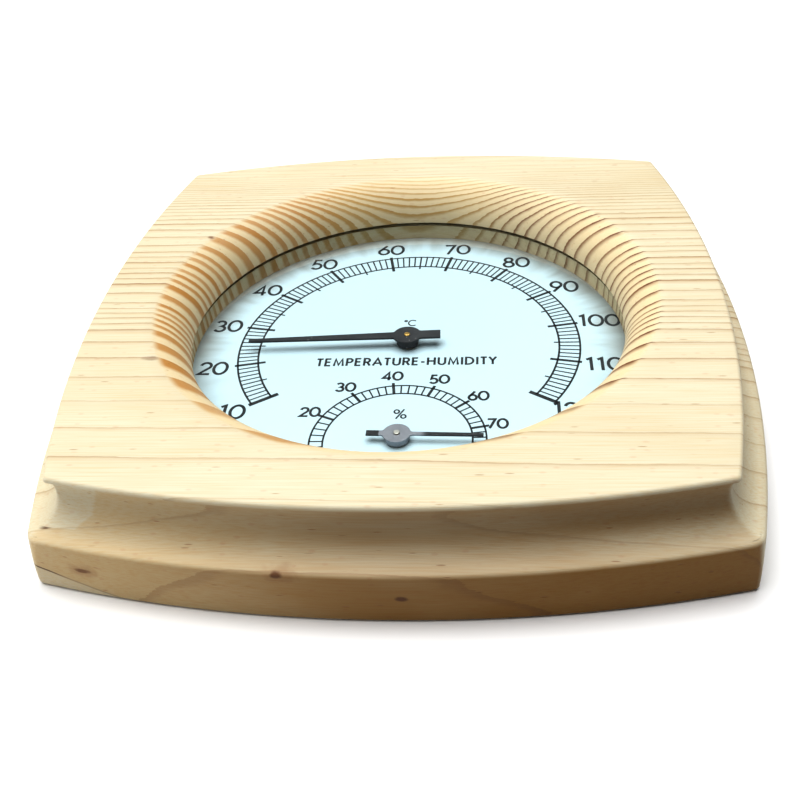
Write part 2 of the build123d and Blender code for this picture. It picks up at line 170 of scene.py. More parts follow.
def wood_frame():
    """The frame as one closed skin: throat, face, cove, lip, upright side, back and bore."""
    headings = [math.atan2(y, x) for x, y in bowed_loop(0, LIP_CORNER)]
    loops = []

    def round_loop(radius, z):
        loops.append([(radius * math.cos(a), radius * math.sin(a), z) for a in headings])

    def square_loop(inset, z, corner, flatter=0.0):
        loops.append([(x, y, z) for x, y in bowed_loop(inset, corner, flatter)])

    def spread(inner, outer, z, count):
        for k in range(1, count):
            mix = k / count
            loops.append([(a[0] + (b[0] - a[0]) * mix, a[1] + (b[1] - a[1]) * mix, z)
                          for a, b in zip(inner, outer)])

    # throat, from a softened rim up to the crest
    rim_round = 0.1
    round_loop(RIM_RADIUS + rim_round, LEDGE_Z)
    reach = CREST_RADIUS - RIM_RADIUS
    depth = FRAME_TOP - LEDGE_Z
    throat_radius = (reach**2 + depth**2) / (2 * reach)
    first = 180 - math.degrees(math.asin(rim_round / throat_radius))
    last = 180 - math.degrees(math.asin(depth / throat_radius))
    for radius, z in ellipse_arc((RIM_RADIUS + throat_radius, LEDGE_Z),
                                 (throat_radius, throat_radius), first, last, 32):
        round_loop(radius, z)
    # face, from the round crest to the bowed outline
    outline = bowed_loop(COVE_REACH + FACE_ROUND, FACE_CORNER)
    spread(loops[-1], outline, FRAME_TOP, 8)
    lip_z = FRAME_TOP - COVE_DEPTH
    cove_radius = (COVE_REACH**2 + COVE_DEPTH**2) / (2 * COVE_DEPTH)
    cove_z = lip_z + cove_radius
    # rounded edge of the face, whose round runs on into the cove
    for out, z in ellipse_arc((-FACE_ROUND, FRAME_TOP - FACE_ROUND), (FACE_ROUND, FACE_ROUND),
                              90, -25, 9):
        square_loop(COVE_REACH - out, z, FACE_CORNER)
    for out, z in ellipse_arc((COVE_REACH, cove_z), (cove_radius, cove_radius), 158, 262, 28):
        depth = max(0.0, (FRAME_TOP - 4 - z) / COVE_DEPTH)
        square_loop(COVE_REACH - out, z, FACE_CORNER + (LIP_CORNER - FACE_CORNER) * depth**2)
    for out, z in ellipse_arc((COVE_REACH - LIP_ROUND, lip_z - LIP_ROUND),
                              (LIP_ROUND, LIP_ROUND), 80, 0, 8):
        square_loop(COVE_REACH - out, z, LIP_CORNER)
    # upright side, rounded into the back
    side_low = BACK_ROUND
    side_high = lip_z - LIP_ROUND
    for k in range(1, 9):
        down = k / 9
        flat = math.sin(down * math.pi / 2)
        square_loop(0, side_high + (side_low - side_high) * down,
                    LIP_CORNER + (FOOT_CORNER - LIP_CORNER) * flat, FOOT_FLATTER * flat)
    for out, z in ellipse_arc((-BACK_ROUND, BACK_ROUND), (BACK_ROUND, BACK_ROUND), 0, -90, 8):
        tuck = -out / BACK_ROUND
        square_loop(-out, z, FOOT_CORNER + FOOT_TUCK * tuck, FOOT_FLATTER)
    # back face, recess for the cover, bore and ledge
    edge = 0.25
    recess = [((RECESS_RADIUS + edge) * math.cos(a), (RECESS_RADIUS + edge) * math.sin(a))
              for a in headings]
    spread(loops[-1], recess, 0.0, 4)
    for radius, z in ((RECESS_RADIUS + edge, 0), (RECESS_RADIUS, edge),
                      (RECESS_RADIUS, COVER_SEAT_Z), (BORE_RADIUS, COVER_SEAT_Z),
                      (BORE_RADIUS, LEDGE_Z)):
        round_loop(radius, z)
    count = len(headings)
    verts = [point for loop in loops for point in loop]
    faces = []
    for row in range(len(loops)):
        low = row * count
        high = (row + 1) % len(loops) * count
        for k in range(count):
            after = (k + 1) % count
            faces.append((low + k, high + k, high + after, low + after))
    body = link("wood_frame", verts, faces)
    carve(body, rounded_block("housing_cut", HANGER_HALF + HOUSING_GAP, 6 + HOUSING_GAP, 2,
                              HANGER_Y, -1, HANGER_TOP))
    carve(body, rounded_block("pocket_cut", NAIL_POCKET[0], NAIL_POCKET[1], 3,
                              HANGER_Y, -1, NAIL_POCKET[2]))
    body.data.shade_smooth()
    body.data.set_sharp_from_angle(angle=math.radians(38))
    return body


# ================================================================ node helpers
class Shade:
    """Wires one material. Positions are the object's own, in millimetres."""

    def __init__(self, name):
        self.material = bpy.data.materials.new(name)
        self.material.use_nodes = True
        self.nodes = self.material.node_tree.nodes
        self.links = self.material.node_tree.links
        self.nodes.clear()
        self.output = self.nodes.new("ShaderNodeOutputMaterial")
        coords = self.nodes.new("ShaderNodeTexCoord").outputs["Object"]
        self.point = self.vector("MULTIPLY", coords, (1 / MM, 1 / MM, 1 / MM))
        split = self.node("ShaderNodeSeparateXYZ", [self.point])
        self.x, self.y, self.z = split.outputs

    def node(self, kind, inputs=(), **settings):
        made = self.nodes.new(kind)
        for key, value in settings.items():
            setattr(made, key, value)
        for socket, value in zip(made.inputs, inputs):
            self.put(socket, value)
        return made

    def put(self, socket, value):
        if value is None:
            return
        if isinstance(value, bpy.types.NodeSocket):
            self.links.new(value, socket)
        elif isinstance(value, tuple) and len(value) == 3 and socket.type == "RGBA":
            socket.default_value = (*value, 1)
        else:
            socket.default_value = value

    def math(self, operation, *values, clamp=False):
        return self.node("ShaderNodeMath", values, operation=operation,
                         use_clamp=clamp).outputs[0]

    def add(self, *values):
        total = values[0]
        for value in values[1:]:
            total = self.math("ADD", total, value)
        return total

    def times(self, *values):
        total = values[0]
        for value in values[1:]:
            total = self.math("MULTIPLY", total, value)
        return total

    def vector(self, operation, a, b):
        return self.node("ShaderNodeVectorMath", [a, b], operation=operation).outputs[0]

    def noise(self, size, detail=2.0, roughness=0.5, shift=0.0, distortion=0.0):
        """Noise about 0.5, whose grains have this size along X, Y and Z."""
        sx, sy, sz = size if isinstance(size, tuple) else (size, size, size)
        place = self.vector("MULTIPLY", self.point, (1 / sx, 1 / sy, 1 / sz))
        place = self.vector("ADD", place, (shift, shift * 1.7, shift * 2.3))
        made = self.node("ShaderNodeTexNoise")
        self.put(made.inputs["Vector"], place)
        made.inputs["Scale"].default_value = 1.0
        made.inputs["Detail"].default_value = detail
        made.inputs["Roughness"].default_value = roughness
        made.inputs["Distortion"].default_value = distortion
        return made.outputs["Fac"]

    def cells(self, size, shift=0.0):
        """Distance to the nearest random point, and that point's random number."""
        sx, sy, sz = size if isinstance(size, tuple) else (size, size, size)
        place = self.vector("MULTIPLY", self.point, (1 / sx, 1 / sy, 1 / sz))
        place = self.vector("ADD", place, (shift, shift, shift))
        made = self.node("ShaderNodeTexVoronoi")
        self.put(made.inputs["Vector"], place)
        made.inputs["Scale"].default_value = 1.0
        random = self.node("ShaderNodeSeparateColor", [made.outputs["Color"]]).outputs[0]
        return made.outputs["Distance"], random

    def step(self, value, low, high):
        """0 below low and 1 above high, smooth between; low may be the greater."""
        made = self.node("ShaderNodeMapRange", interpolation_type="SMOOTHSTEP")
        for socket, given in zip(made.inputs[:5], (value, low, high, 0.0, 1.0)):
            self.put(socket, given)
        return made.outputs[0]

    def curve(self, value, low, high, points):
        """A table of (input, output) pairs, straight between them."""
        top = max(out for _, out in points)
        made = self.node("ShaderNodeFloatCurve")
        line = made.mapping.curves[0]
        while len(line.points) < len(points):
            line.points.new(0.5, 0.5)
        for point, (place, out) in zip(line.points, points):
            point.location = ((place - low) / (high - low), out / top)
            point.handle_type = "VECTOR"
        made.mapping.update()
        share = self.math("DIVIDE", self.math("SUBTRACT", value, low), high - low)
        made.inputs["Factor"].default_value = 1.0
        self.put(made.inputs["Value"], share)
        return self.times(made.outputs[0], top)

    def mix(self, factor, a, b, blend="MIX"):
        made = self.node("ShaderNodeMix", data_type="RGBA", blend_type=blend)
        self.put(made.inputs["Factor"], factor)
        self.put(made.inputs[6], a)       # the colour inputs, after the float and vector ones
        self.put(made.inputs[7], b)
        return made.outputs[2]

    def spot(self, centre, radii, ragged=None):
        """1 at a point, fading to 0 at an ellipsoid around it."""
        away = self.vector("SUBTRACT", self.point, centre)
        away = self.vector("DIVIDE", away, radii)
        length = self.node("ShaderNodeVectorMath", [away], operation="LENGTH").outputs["Value"]
        if ragged is not None:
            length = self.add(length, ragged)
        return self.step(length, 1.0, 0.35)

    def bump(self, height, depth, normal=None, strength=1.0):
        """Relief whose height of 1 stands depth millimetres tall."""
        made = self.node("ShaderNodeBump")
        made.inputs["Strength"].default_value = strength
        made.inputs["Distance"].default_value = depth * MM
        self.put(made.inputs["Height"], height)
        self.put(made.inputs["Normal"], normal)
        return made.outputs[0]

    def surface(self, base, roughness, normal=None, **sockets):
        """Ends the material in a Principled shader."""
        made = self.node("ShaderNodeBsdfPrincipled")
        self.put(made.inputs["Base Color"], base)
        self.put(made.inputs["Roughness"], roughness)
        self.put(made.inputs["Normal"], normal)
        for name, value in sockets.items():
            self.put(made.inputs[name.replace("_", " ")], value)
        self.links.new(made.outputs[0], self.output.inputs["Surface"])
        return self.material


def srgb(red, green, blue):
    """A colour given as it looks on screen, 0 to 255, as Blender's linear values."""
    parts = [v / 255 for v in (red, green, blue)]
    return tuple(v / 12.92 if v <= 0.04045 else ((v + 0.055) / 1.055) ** 2.4 for v in parts)


# ================================================================ wood
# Where the dark edge of each growth ring meets the face on the line x = 0, bottom to top.
RING_HEIGHTS = (-93.5, -84.7, -75.8, -64.0, -54.3, -45.0, -36.2, -28.8, -22.6, -17.3, -14.8,
                -12.3, -10.1, -7.9, -5.3, -1.0, 3.6, 6.1, 8.8, 11.3, 14.4, 17.4, 20.0, 23.7,
                28.4, 32.3, 35.7, 38.4, 40.8, 42.9, 44.9, 46.8, 48.6, 50.2, 51.7, 53.1, 54.4,
                55.7, 57.0, 58.2, 59.4, 60.6, 61.9, 63.3, 65.0, 67.0, 69.5, 72.5, 76.0, 80.0,
                84.5, 90.0)
# How strongly the rings show, by height.
RING_STRENGTH = ((-94, 0.55), (-70, 0.5), (-50, 0.45), (-36, 0.62), (-24, 0.72), (-12, 0.75),
                 (0, 1.0), (30, 1.0), (40, 0.9), (50, 0.75), (58, 0.5), (66, 0.3), (90, 0.2))
RING_LEAN = 0.14          # the rings lean towards the top of the dial as they go deeper
RING_SKEW = 0.022
PINE_TONE = (0.638, 0.642, 0.635)


def wood():
    s = Shade("pine")
    # growth rings
    broad = s.math("SUBTRACT", s.noise((95, 42, 42), 1.0), 0.5)
    wavy = s.math("SUBTRACT", s.noise((17, 8, 8), 2.0, shift=3.1), 0.5)
    ragged = s.math("SUBTRACT", s.noise((2.6, 0.7, 0.7), 2.0, shift=7.7), 0.5)
    height = s.add(s.y, s.times(s.x, RING_SKEW), s.times(s.z, RING_LEAN),
                   -FRAME_TOP * RING_LEAN, s.times(broad, 2.4), s.times(wavy, 0.9),
                   s.times(ragged, 0.35))
    low, high = RING_HEIGHTS[0], RING_HEIGHTS[-1]
    phase = s.curve(height, low, high, [(y, k) for k, y in enumerate(RING_HEIGHTS)])
    widths = [(y, RING_HEIGHTS[k + 1] - y) for k, y in enumerate(RING_HEIGHTS[:-1])]
    width = s.curve(height, low, high, widths + [(high, widths[-1][1])])
    before = s.times(s.math("SUBTRACT", 1.0, s.math("FRACT", phase)), width)
    band = s.math("MINIMUM", s.times(width, 0.52), 1.75)
    late = s.math("POWER", s.math("SUBTRACT", 1.0, s.math("DIVIDE", before, band), clamp=True),
                  1.3)
    line = s.step(before, 0.55, 0.15)
    ring = s.math("FLOOR", phase)
    chance = s.node("ShaderNodeTexWhiteNoise", noise_dimensions="1D")
    s.put(chance.inputs["W"], ring)
    patchy = s.step(s.noise((30, 5, 5), 2.0, shift=11.0), 0.25, 0.7)
    strength = s.times(s.add(s.times(chance.outputs["Value"], 0.5), 0.5),
                       s.add(s.times(patchy, 0.4), 0.6),
                       s.curve(height, low, high, list(RING_STRENGTH)))
    # the surface seen in the throat is cut across the fibres and takes a darker stain
    radius = s.math("SQRT", s.add(s.times(s.x, s.x), s.times(s.y, s.y)))
    throat = s.step(radius, CREST_RADIUS + 0.6, CREST_RADIUS - 1.6)
    leftward = s.step(s.x, 18, -26)
    share = s.math("DIVIDE", before, s.times(width, s.add(s.times(leftward, 0.18), 0.42)))
    deep = s.times(s.step(share, 1.0, s.add(s.times(leftward, 0.5), 0.05)),
                   s.add(s.times(chance.outputs["Value"], 0.25), 0.75),
                   s.step(s.curve(height, low, high, list(RING_STRENGTH)), 0.1, 0.6))
    crest = s.times(s.step(radius, CREST_RADIUS + 1.2, CREST_RADIUS - 0.4),
                    s.step(radius, CREST_RADIUS - 4.5, CREST_RADIUS - 2.5),
                    s.math("SUBTRACT", 1.0, leftward), s.step(s.x, 40, 52))
    # the near side ends at the corners, on the lines |x| = -y
    near = s.times(s.step(s.add(s.y, s.times(s.x, s.x, -0.5 / BOW_RADIUS)), -74.4, -75.6),
                   s.step(s.add(s.y, s.math("ABSOLUTE", s.x)), 1.5, -1.5))
    late = s.times(s.math("MAXIMUM", s.times(late, strength), s.times(deep, throat)),
                   s.math("SUBTRACT", 1.0, s.times(near, 0.55)))
    # fibres and pores
    fibre = s.noise((22, 0.32, 0.32), 3.0, 0.65, shift=1.3)
    fine = s.noise((5, 0.14, 0.14), 2.0, 0.6, shift=5.9)
    blotch = s.noise((60, 22, 22), 3.0, 0.55, shift=2.2)
    cell, chance_cell = s.cells((6.5, 0.9, 0.9))
    canals = s.times(s.step(cell, 0.2, 0.08), s.step(chance_cell, 0.80, 0.84))
    fleck, chance_fleck = s.cells((3.0, 1.3, 1.3), 4.4)
    flecks = s.times(s.step(fleck, 0.35, 0.1), s.step(chance_fleck, 0.72, 0.78))
    # colour
    early = s.mix(s.step(blotch, 0.35, 0.7), srgb(236, 228, 203), srgb(231, 221, 193))
    early = s.mix(s.times(s.step(fibre, 0.35, 0.75), 0.5), early, srgb(226, 196, 145))
    early = s.mix(s.times(throat, 0.7), early, srgb(246, 224, 180))
    middle = s.times(s.step(s.math("ABSOLUTE", s.add(s.x, 2.0)), 34, 14), s.step(s.y, 20, 40))
    throat_late = s.mix(leftward, srgb(138, 90, 50), srgb(204, 150, 80))
    throat_late = s.mix(s.times(middle, 0.75), throat_late, srgb(214, 176, 104))
    late_colour = s.mix(throat, srgb(196, 160, 114), throat_late)
    colour = s.mix(s.times(late, s.add(s.times(throat, 0.2), 0.8)), early, late_colour)
    thin = s.times(line, strength, s.math("SUBTRACT", 1.0, throat))
    colour = s.mix(s.times(thin, 0.65), colour, srgb(158, 118, 74))
    colour = s.mix(s.times(crest, line, 0.75), colour, srgb(112, 62, 34))
    colour = s.mix(s.times(canals, 0.5), colour, srgb(176, 120, 70))
    colour = s.mix(s.times(flecks, 0.22), colour, srgb(214, 160, 130))
    # knots and a knock
    edge = s.times(s.math("SUBTRACT", s.noise(2.0, 2.0), 0.5), 0.9)
    knots = s.math("MAXIMUM", s.spot((-62.8, -78, 7.2), (2.3, 6, 0.9), edge),
                   s.spot((-20.5, -83, 12.6), (1.6, 3, 0.9), edge))
    knots = s.math("MAXIMUM", knots, s.spot((4, -84, 7), (1.7, 3, 0.9), edge))
    knots = s.math("MAXIMUM", knots, s.spot((-55.6, 29, 25.6), (1.3, 1.0, 1.5), edge))
    halo = s.math("MAXIMUM", s.spot((-62.8, -78, 7.2), (5.0, 7, 2.6), edge),
                  s.spot((-19.5, -83, 12.4), (5.0, 4, 2.2), edge))
    colour = s.mix(s.times(halo, 0.3), colour, srgb(176, 126, 78))
    colour = s.mix(s.times(knots, 0.8), colour, srgb(126, 76, 40))
    knock = s.spot((-57.5, -28, FRAME_TOP), (2.8, 1.0, 1.2), edge)
    colour = s.mix(s.times(knock, 0.5), colour, srgb(150, 120, 95))
    # the near side: painted shade, brown and darker towards the right, lighter on the lip top
    # and the upper cove, and lighter still in two pale zones at its left corner
    front = s.times(near, s.step(s.z, FRAME_TOP - 0.2, FRAME_TOP - 1.6), s.step(s.z, 0.02, 0.25))
    across = s.math("SUBTRACT", s.add(s.x, 80.0, s.times(wavy, 1.5)),
                    s.curve(s.z, 13.3, FRAME_TOP, [(13.3, 4.0), (14.2, 10.0), (14.5, 16.0),
                                                   (17.0, 20.0), (21.0, 21.0), (25.6, 23.0)]))
    under = s.add(s.z, s.times(s.x, 0.296), 22.5, s.times(wavy, 1.0))
    pale = s.math("MAXIMUM", s.times(s.step(across, 0.5, -0.5), s.step(s.z, 12.6, 13.4)),
                  s.step(under, 6.8, 6.3))
    level = s.times(s.step(s.z, 12.2, 13.2), s.step(s.z, 18.5, 14.5))
    # painted shade: how strongly the near side is browned, by place
    near_painted_shade = s.add(s.times(s.step(s.x, 10, 60), 0.12), 0.92, s.times(level, -0.42),
                  s.times(s.step(s.z, 15.5, 19.0), -0.28), s.times(pale, -0.5),
                  s.times(level, s.step(s.x, 10, 60), -0.25),
                  s.times(s.math("SUBTRACT", blotch, 0.5), 0.5))
    # colour of the painted shade, browner towards the right
    painted_shade_colour = s.mix(s.step(s.x, -62, 6), srgb(243, 222, 190), srgb(178, 136, 62))
    painted_shade_wood = s.mix(1.0, colour, painted_shade_colour, blend="MULTIPLY")
    colour = s.mix(s.math("MULTIPLY", front, near_painted_shade, clamp=True), colour, painted_shade_wood)
    cracks = s.math("MAXIMUM",
                    s.times(s.step(s.math("ABSOLUTE", across), 1.1, 0.3),
                            s.step(s.x, -63, -68), s.step(s.z, 14.3, 14.1),
                            s.step(s.y, -70.5, -71.5)),
                    s.times(s.step(s.math("ABSOLUTE", s.add(under, -6.55)), 0.35, 0.12),
                            s.add(s.times(s.step(s.x, -66, -72), 0.6), 0.4),
                            s.step(s.x, -50, -58)))
    colour = s.mix(s.times(cracks, front, 0.9), colour, srgb(96, 56, 26))
    colour = s.mix(1.0, colour, PINE_TONE, blend="MULTIPLY")
    # relief: proud latewood, open fibres, canals cut in, the knock pressed in
    relief = s.add(s.times(late, 0.5), s.times(fibre, 0.35), s.times(fine, 0.25),
                   s.times(canals, -0.6), s.times(knock, -2.5))
    normal = s.bump(relief, 0.09)
    rough = s.add(0.5, s.times(fibre, 0.16), s.times(late, -0.08))
    return s.surface(colour, rough, normal, Specular_IOR_Level=0.35)


# ================================================================ metals, plastics, paper
def metal(name, colour, roughness, brushed=(0.3, 0.3, 0.3), spots=0.15, depth=0.01):
    """Plain metal with fine working marks and a few duller patches."""
    s = Shade(name)
    marks = s.noise(brushed, 3.0, 0.6)
    patches = s.step(s.noise(6.0, 3.0, 0.6, shift=3.3), 0.45, 0.7)
    darker = tuple(v * (1 - spots) for v in colour)
    base = s.mix(patches, colour, darker)
    base = s.mix(s.times(s.step(marks, 0.4, 0.8), 0.3), base, darker)
    rough = s.add(roughness, s.times(patches, 0.12), s.times(marks, 0.1))
    return s.surface(base, rough, s.bump(marks, depth), Metallic=1.0)


def zinc():
    """Galvanised sheet: crystals of slightly different grey, and fine scratches."""
    s = Shade("zinc_sheet")
    _, grain = s.cells((5.0, 5.0, 5.0))
    scratches = s.step(s.noise((0.12, 9, 9), 2.0, 0.6), 0.6, 0.75)
    base = s.mix(grain, srgb(168, 172, 176), srgb(196, 199, 202))
    base = s.mix(s.times(scratches, 0.35), base, srgb(215, 217, 220))
    rough = s.add(0.34, s.times(grain, 0.16), s.times(scratches, -0.1))
    return s.surface(base, rough, s.bump(scratches, 0.01), Metallic=1.0)


def paint(name, colour, roughness, dust=0.0, grain=0.25, depth=0.01, specular=0.5):
    """A painted or printed surface with fine orange peel and a little dust."""
    s = Shade(name)
    peel = s.noise(grain, 2.0, 0.5)
    tone = s.noise(7.0, 3.0, 0.5, shift=4.1)
    paler = tuple(v + (1 - v) * 0.05 for v in colour)
    base = s.mix(tone, colour, paler)
    if dust:
        cell, chance = s.cells(0.8)
        specks = s.times(s.step(cell, 0.22, 0.08), s.step(chance, 0.86, 0.9))
        base = s.mix(s.times(specks, dust), base, srgb(200, 198, 192))
    rough = s.add(roughness, s.times(tone, 0.1))
    return s.surface(base, rough, s.bump(peel, depth), Specular_IOR_Level=specular)


def fibreboard():
    s = Shade("fibreboard")
    fibres = s.noise((0.5, 0.5, 0.2), 4.0, 0.7)
    blotch = s.noise(4.0, 3.0, 0.5, shift=2.0)
    base = s.mix(s.step(fibres, 0.3, 0.75), srgb(206, 176, 130), srgb(176, 142, 96))
    base = s.mix(s.times(blotch, 0.4), base, srgb(196, 168, 124))
    return s.surface(base, 0.85, s.bump(fibres, 0.12))


def dial_paint():
    """Screen-printed white lacquer on the dial, with painted shade round its edge."""
    s = Shade("dial_white")
    peel = s.noise(0.5, 2.0, 0.5)
    tone = s.noise(35.0, 2.0, 0.5, shift=1.0)
    cell, chance = s.cells(3.2)
    specks = s.times(s.step(cell, 0.05, 0.02), s.step(chance, 0.9, 0.92))
    base = s.mix(tone, srgb(184, 204, 212), srgb(180, 201, 210))
    base = s.mix(s.times(specks, 0.5), base, srgb(150, 160, 168))
    # painted shade round the edge under the rim, streaked outwards, least at the bottom of the
    # dial
    radius = s.math("SQRT", s.add(s.times(s.x, s.x), s.times(s.y, s.y)))
    turn = s.math("ARCTAN2", s.y, s.x)
    streak = s.node("ShaderNodeTexNoise", noise_dimensions="2D")
    pair = s.node("ShaderNodeCombineXYZ", [s.times(turn, 14.0), s.times(radius, 0.06)])
    s.put(streak.inputs["Vector"], pair.outputs[0])
    streak.inputs["Scale"].default_value = 1.0
    edge = s.step(s.add(radius, s.times(s.math("SUBTRACT", streak.outputs["Fac"], 0.5), 7.0)),
                  46.0, 57.0)
    painted_rim_shade = s.times(edge, s.step(s.y, -34, 8), 0.7)
    base = s.mix(painted_rim_shade, base, srgb(110, 100, 82))
    return s.surface(base, s.add(0.42, s.times(tone, 0.1)), s.bump(peel, 0.006))


BOTH_SIDES = 1.2


def glass():
    """Thin window glass: it lets lamps through, and reflects by Fresnel's law."""
    s = Shade("window_glass")
    smear = s.noise(30.0, 3.0, 0.6)
    rough = s.times(s.step(smear, 0.45, 0.75), 0.03)
    clear = s.node("ShaderNodeBsdfTransparent")
    clear.inputs["Color"].default_value = (0.985, 0.995, 0.99, 1)
    gloss = s.node("ShaderNodeBsdfAnisotropic")
    gloss.inputs["Color"].default_value = (1, 1, 1, 1)
    s.put(gloss.inputs["Roughness"], rough)
    fresnel = s.node("ShaderNodeFresnel")
    fresnel.inputs["IOR"].default_value = 1.5
    lamp = s.node("ShaderNodeLightPath").outputs["Is Shadow Ray"]
    leaving = s.node("ShaderNodeNewGeometry").outputs["Backfacing"]
    # both sides of the pane reflect, but only the one that the ray enters by is counted
    share = s.times(fresnel.outputs[0], BOTH_SIDES, s.math("SUBTRACT", 1.0, lamp),
                    s.math("SUBTRACT", 1.0, leaving))
    both = s.node("ShaderNodeMixShader", [share, clear.outputs[0], gloss.outputs[0]])
    s.links.new(both.outputs[0], s.output.inputs["Surface"])
    return s.material


def humidity_needle():
    """Bright steel, painted black along the needle and the tail but not around the pin."""
    s = Shade("pointer_silver")
    marks = s.noise((2.0, 0.15, 0.3), 3.0, 0.6)
    cell, chance = s.cells(0.6)
    specks = s.times(s.step(cell, 0.25, 0.1), s.step(chance, 0.85, 0.9))
    away = s.math("SQRT", s.add(s.times(s.x, s.x),
                                s.math("POWER", s.math("SUBTRACT", s.y, HYGROMETER_Y), 2.0)))
    fade = s.mix(s.step(s.x, 0.5, -0.5), s.step(away, 5.2, 7.2), s.step(away, 4.05, 4.3))
    black = s.node("ShaderNodeSeparateColor", [fade]).outputs[0]
    base = s.mix(marks, srgb(128, 130, 136), srgb(150, 152, 158))
    base = s.mix(s.times(specks, 0.4), base, srgb(90, 90, 90))
    base = s.mix(black, base, srgb(22, 24, 28))
    rough = s.add(0.3, s.times(marks, 0.15))
    return s.surface(base, rough, s.bump(marks, 0.01), Metallic=s.times(
        s.math("SUBTRACT", 1.0, black), 0.9))


WOOD = wood()
MATERIALS = {
    "wood": WOOD,
    "glass": glass(),
    "gasket": paint("gasket_rubber", srgb(116, 100, 80), 0.6, dust=0.3, grain=0.4, depth=0.03),
    "fibreboard": fibreboard(),
    "dial_white": dial_paint(),
    "zinc_steel": zinc(),
    "screw_steel": metal("screw_steel", srgb(176, 174, 168), 0.32, (0.25, 0.25, 0.25)),
    "brass": metal("brass", srgb(206, 172, 104), 0.28, (0.5, 0.1, 0.5)),
    "pointer_black": paint("pointer_black", srgb(20, 24, 30), 0.4, dust=0.7, grain=0.3,
                           depth=0.012, specular=0.25),
    "pointer_silver": humidity_needle(),
    "bimetal": metal("bimetal", srgb(182, 142, 92), 0.35, (0.4, 0.4, 0.06), spots=0.3),
    "humidity_strip": metal("humidity_strip", srgb(196, 172, 132), 0.4, (0.4, 0.4, 0.06)),
    "ink": paint("printing_ink", srgb(14, 22, 26), 0.6, grain=0.15, depth=0.01, specular=0.12),
}
SLOT_OF = {part["node"]: part["material_slot"] for part in frame["record"]["subparts"]}


def dress(obj, slot):
    obj.data.materials.clear()
    obj.data.materials.append(MATERIALS[slot])


for name, node in nodes.items():
    dress(node, SLOT_OF[name])

casing = wood_frame()
dress(casing, "wood")
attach(casing, "case")
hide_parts("frame")

# ================================================================ dial print
# Printed lines are thin closed solids of ink, sunk a little into the dial. Positions are
# in units of DIAL_UNIT, the radius where the longest temperature ticks end.
DIAL_UNIT = 45.0
INK_LOW, INK_HIGH = DIAL_TOP - 0.02, DIAL_TOP + 0.03


class Print:
    """Gathers strokes of ink into one mesh, in millimetres."""

    def __init__(self):
        self.verts = []
        self.faces = []

    def strip(self, left, right, closed=False):
        """A closed solid between two rows of points."""
        base = len(self.verts)
        count = len(left)
        for row, z in ((left, INK_LOW), (right, INK_LOW), (left, INK_HIGH), (right, INK_HIGH)):
            self.verts += [(x, y, z) for x, y in row]
        la, ra, lb, rb = (base + count * k for k in range(4))
        spans = count if closed else count - 1
        for k in range(spans):
            n = (k + 1) % count
            self.faces += [(lb + k, rb + k, rb + n, lb + n), (la + k, la + n, ra + n, ra + k),
                           (la + k, lb + k, lb + n, la + n), (ra + k, ra + n, rb + n, rb + k)]
        if not closed:
            e = count - 1
            self.faces += [(la, ra, rb, lb), (la + e, lb + e, rb + e, ra + e)]

    def stroke(self, points, width, closed=False):
        """A pen line of even width through the points, with mitred joints."""
        count = len(points)
        left, right = [], []
        for k, (x, y) in enumerate(points):
            before = points[k - 1] if closed or k else None
            after = points[(k + 1) % count] if closed or k < count - 1 else None
            headings = []
            for a, b in ((before, (x, y)), ((x, y), after)):
                if a is not None and b is not None:
                    length = math.hypot(b[0] - a[0], b[1] - a[1])
                    headings.append(((b[0] - a[0]) / length, (b[1] - a[1]) / length))
            tx = sum(h[0] for h in headings)
            ty = sum(h[1] for h in headings)
            size = math.hypot(tx, ty)
            nx, ny = -ty / size, tx / size
            reach = width / 2 * len(headings) / size
            reach = min(reach, width * 1.1)
            left.append((x + nx * reach, y + ny * reach))
            right.append((x - nx * reach, y - ny * reach))
        self.strip(left, right, closed)

    def ring(self, centre, radius, width, start, end, steps=180):
        """Part of a circle, from one angle to another, in radians."""
        angles = [start + (end - start) * k / steps for k in range(steps + 1)]
        rows = []
        for r in (radius + width / 2, radius - width / 2):
            rows.append([(centre[0] + r * math.cos(a), centre[1] + r * math.sin(a))
                         for a in angles])
        self.strip(*rows)

    def spoke(self, centre, angle, inner, outer, width):
        cos, sin = math.cos(angle), math.sin(angle)
        self.stroke([(centre[0] + inner * cos, centre[1] + inner * sin),
                     (centre[0] + outer * cos, centre[1] + outer * sin)], width)


def bend(cx, cy, rx, ry, start, end, steps=14):
    return ellipse_arc((cx, cy), (rx, ry), start, end, steps)


